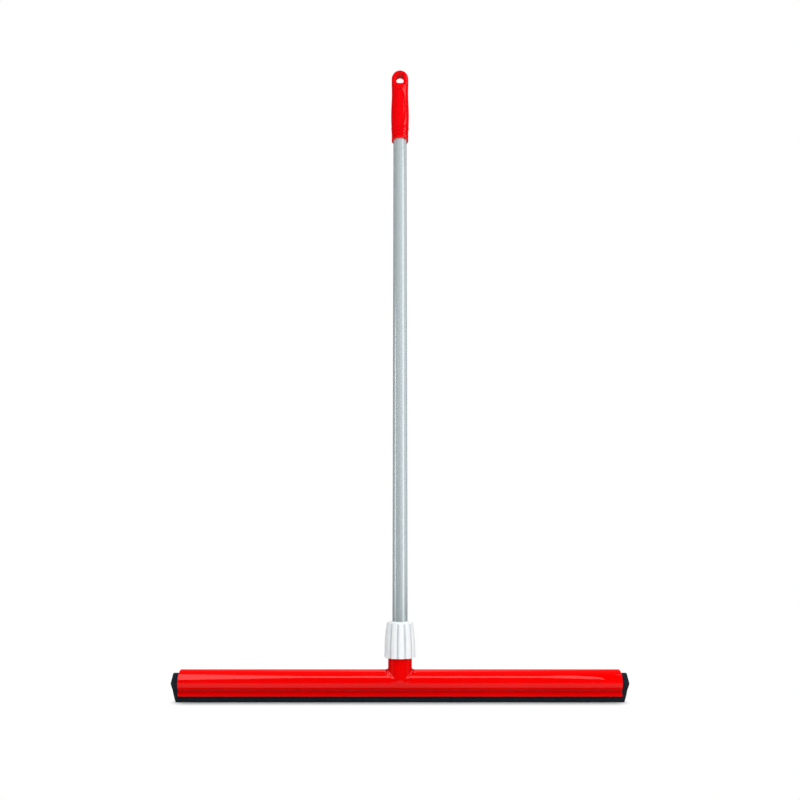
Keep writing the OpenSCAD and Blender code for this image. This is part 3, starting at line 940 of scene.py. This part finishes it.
def studio_card(name, corners, level, receivers=(), colour=WHITE, clear=False):
    """A card beside the set that only reflections see, those of all pieces or of the given ones alone. It
    is not sampled as a lamp, since no diffuse light comes from it. A clear card lets the light from behind
    it through."""
    card = plain_sheet(name, corners)
    card.visible_camera = False
    card.visible_diffuse = False
    card.visible_transmission = False
    card.visible_shadow = False
    material = bpy.data.materials.new(name)
    material.use_nodes = True
    material.cycles.emission_sampling = "NONE"
    tree = material.node_tree
    tree.nodes.remove(tree.nodes["Principled BSDF"])
    shine = glow(tree, level, colour)
    if clear:
        both = tree.nodes.new("ShaderNodeAddShader")
        through = tree.nodes.new("ShaderNodeBsdfTransparent")
        tree.links.new(shine, both.inputs[0])
        tree.links.new(through.outputs["BSDF"], both.inputs[1])
        shine = both.outputs["Shader"]
    tree.links.new(shine, tree.nodes["Material Output"].inputs["Surface"])
    card.data.materials.append(material)
    if receivers:
        group = bpy.data.collections.new(name)
        for piece in receivers:
            group.objects.link(piece)
        card.light_linking.receiver_collection = group


def strip_card(name, piece, centre, width, height, level, colour=WHITE):
    """An upright card for one piece's reflections, square to the line from the Z axis to its centre."""
    x, y, z = centre
    away = math.hypot(x, y)
    side_x, side_y = -y / away * width / 2, x / away * width / 2
    start, end = (x - side_x, y - side_y), (x + side_x, y + side_y)
    corners = upright_corners(start, end, z - height / 2, z + height / 2)
    studio_card(name, corners, level, [piece], colour)


def softbox(name, centre, aim, size, radiance):
    """A rectangular lamp that faces a point and that reflections do not see, not even where a scattered ray
    meets it by chance. Its power is its radiance times pi times its area."""
    lamp = bpy.data.lights.new(name, "AREA")
    lamp.shape = "RECTANGLE"
    lamp.size, lamp.size_y = size
    lamp.energy = radiance * math.pi * size[0] * size[1]
    lamp.cycles.use_multiple_importance_sampling = False
    holder = bpy.data.objects.new(name, lamp)
    bpy.context.scene.collection.objects.link(holder)
    facing = np.array(aim, float) - np.array(centre, float)
    turn = Vector(facing).to_track_quat("-Z", "Y")
    holder.matrix_world = Matrix.Translation(centre) @ turn.to_matrix().to_4x4()
    holder.visible_camera = False
    holder.visible_glossy = False


def studio_world():
    """White for camera, glossy and transmitted rays, and a dim grey for the light that falls on the object.
    It is not sampled as a lamp, so that the cards stand before it in every reflection."""
    dim_level, white_level = 0.15, 1.0
    world = bpy.data.worlds.new("studio")
    bpy.context.scene.world = world
    world.use_nodes = True
    world.cycles.sampling_method = "NONE"
    tree = world.node_tree
    tree.nodes.remove(tree.nodes["Background"])
    path = tree.nodes.new("ShaderNodeLightPath")
    seen = path.outputs["Is Camera Ray"]
    for ray in ("Is Glossy Ray", "Is Transmission Ray"):
        add = tree.nodes.new("ShaderNodeMath")
        add.operation = "MAXIMUM"
        tree.links.new(seen, add.inputs[0])
        tree.links.new(path.outputs[ray], add.inputs[1])
        seen = add.outputs[0]
    mix = tree.nodes.new("ShaderNodeMixShader")
    tree.links.new(seen, mix.inputs["Fac"])
    for socket, strength in ((1, dim_level), (2, white_level)):
        sky = tree.nodes.new("ShaderNodeBackground")
        sky.inputs["Color"].default_value = (*WHITE, 1.0)
        sky.inputs["Strength"].default_value = strength
        tree.links.new(sky.outputs["Background"], mix.inputs[socket])
    tree.links.new(mix.outputs["Shader"], tree.nodes["World Output"].inputs["Surface"])


def photo_camera():
    """The camera, at the photograph's place and lens: in front of the object, low and tilted up."""
    distance, height, tilt = 1.2861, 0.2381, 11.86
    lens = bpy.data.cameras.new("photo_camera")
    lens.sensor_width = 36.0
    lens.lens = 33.02
    camera = bpy.data.objects.new("photo_camera", lens)
    camera.location = (0.0, -distance, height)
    camera.rotation_euler = (math.radians(90.0 + tilt), 0.0, 0.0)
    bpy.context.scene.collection.objects.link(camera)
    bpy.context.scene.camera = camera


bpy.context.scene.view_settings.view_transform = "Standard"
photo_camera()
studio_world()
pale_floor()

# Dark cards all round, which keep the red plastic's reflections deep
walls = [("front_card", (-TENT, -TENT), (TENT, -TENT), 0.01),
         ("back_card", (-TENT, TENT), (TENT, TENT), 0.08),
         ("left_card", (-TENT, -TENT), (-TENT, TENT), 0.03),
         ("right_card", (TENT, -TENT), (TENT, TENT), 0.03)]
for card_name, start, end, level in walls:
    studio_card(card_name, upright_corners(start, end, 0.0, ROOF), level)
studio_card("top_card", level_corners(TENT, -TENT, TENT, ROOF), 0.03)

# Cards just over the floor, dark but for a band in front of the head that its lower edge reflects
floor_level, near_front, near_back, far_back = 0.002, -0.08, -0.0195, 0.2
floor_bands = [("far_floor_card", -TENT, near_front, 0.01), ("near_floor_card", near_front, near_back, 0.21),
               ("under_card", near_back, far_back, 0.01), ("behind_floor_card", far_back, TENT, 0.02)]
for card_name, front, back, level in floor_bands:
    studio_card(card_name, level_corners(TENT, front, back, floor_level), level)

# The head's highlight is a long card, thin over the middle and flared at both ends, high in front of the
# head. Its outline is given as (X, half width). It is clear, since the tube's cards stand behind it.
highlight_level = 0.95
card_elevation = math.radians(43.5)
card_distance = 1.3
flank_spot = np.array([0.0, -0.0155, 0.041])
card_facing = np.array([0.0, -math.cos(card_elevation), math.sin(card_elevation)])
card_up = np.array([0.0, math.sin(card_elevation), math.cos(card_elevation)])
card_middle = flank_spot + card_distance * card_facing
highlight_outline = [(-1.4, 0.8), (-0.76, 0.74), (-0.31, 0.2), (0.47, 0.2), (0.76, 0.7), (1.4, 0.8)]
for part, ((x0, half0), (x1, half1)) in enumerate(zip(highlight_outline, highlight_outline[1:])):
    card_corners = [(x0, -half0), (x1, -half1), (x1, half1), (x0, half0)]
    studio_card("head_highlight_%d" % part,
                [tuple(card_middle + np.array([x, 0.0, 0.0]) + v * card_up) for x, v in card_corners],
                highlight_level, [channel_piece, neck_piece], clear=True)

# The soft band along the head's top edge, strongest over the middle: nested cards behind the head, the
# narrowest in front, as (half width, level)
glow_place, glow_step = 1.6, 0.02
glow_low, glow_high = 0.9, 4.1
for part, (half, level) in enumerate([(0.27, 0.42), (0.6, 0.27), (0.9, 0.15)]):
    glow_y = glow_place + glow_step * part
    glow_corners = upright_corners((-half, glow_y), (half, glow_y), glow_low, glow_high)
    studio_card("top_edge_glow_%d" % part, glow_corners, level, [channel_piece])

# The tube's bright band on the right, warmed a little, its fainter one on the left, the ground between and
# beside them, and the grip's soft band
warm = (1.0, 0.95, 0.92)
strip_card("tube_right_strip", tube_piece, (0.645, -0.474, 0.8), width=0.38, height=1.52, level=1.8,
           colour=warm)
strip_card("tube_left_strip", tube_piece, (-1.58, -0.28, 0.6), width=0.4, height=1.2, level=2.1)
strip_card("tube_right_fill", tube_piece, (0.6, -1.9, 1.9), width=0.85, height=3.8, level=0.68)
strip_card("tube_front_card", tube_piece, (0.0, -2.1, 2.2), width=4.6, height=3.2, level=0.46)
strip_card("tube_front_low_card", tube_piece, (0.0, -2.1, 0.3), width=4.6, height=0.6, level=0.24)
strip_card("tube_left_card", tube_piece, (-2.4, 0.0, 1.9), width=4.6, height=3.8, level=0.3)
strip_card("tube_right_card", tube_piece, (2.4, 0.0, 1.9), width=4.6, height=3.8, level=0.6)
strip_card("grip_strip", grip_piece, (1.17, -0.47, 2.25), width=0.8, height=1.2, level=2.2)

# The lamps, which face a spot over the head or the floor under it
over_head, on_floor = (0.0, 0.0, 0.3), (0.0, 0.0, 0.0)
softbox("key_right", (1.35, -1.2, 1.4), over_head, size=(1.0, 1.0), radiance=8.2)
softbox("key_left", (-1.2, -1.2, 1.4), over_head, size=(1.0, 1.0), radiance=4.2)
softbox("front_low", (0.0, -3.0, 0.9), over_head, size=(3.0, 1.6), radiance=0.4)
softbox("overhead", (0.0, 0.0, 3.0), on_floor, size=(3.0, 3.0), radiance=1.05)
softbox("back_top", (0.0, 1.4, 2.4), on_floor, size=(3.0, 1.6), radiance=4.4)
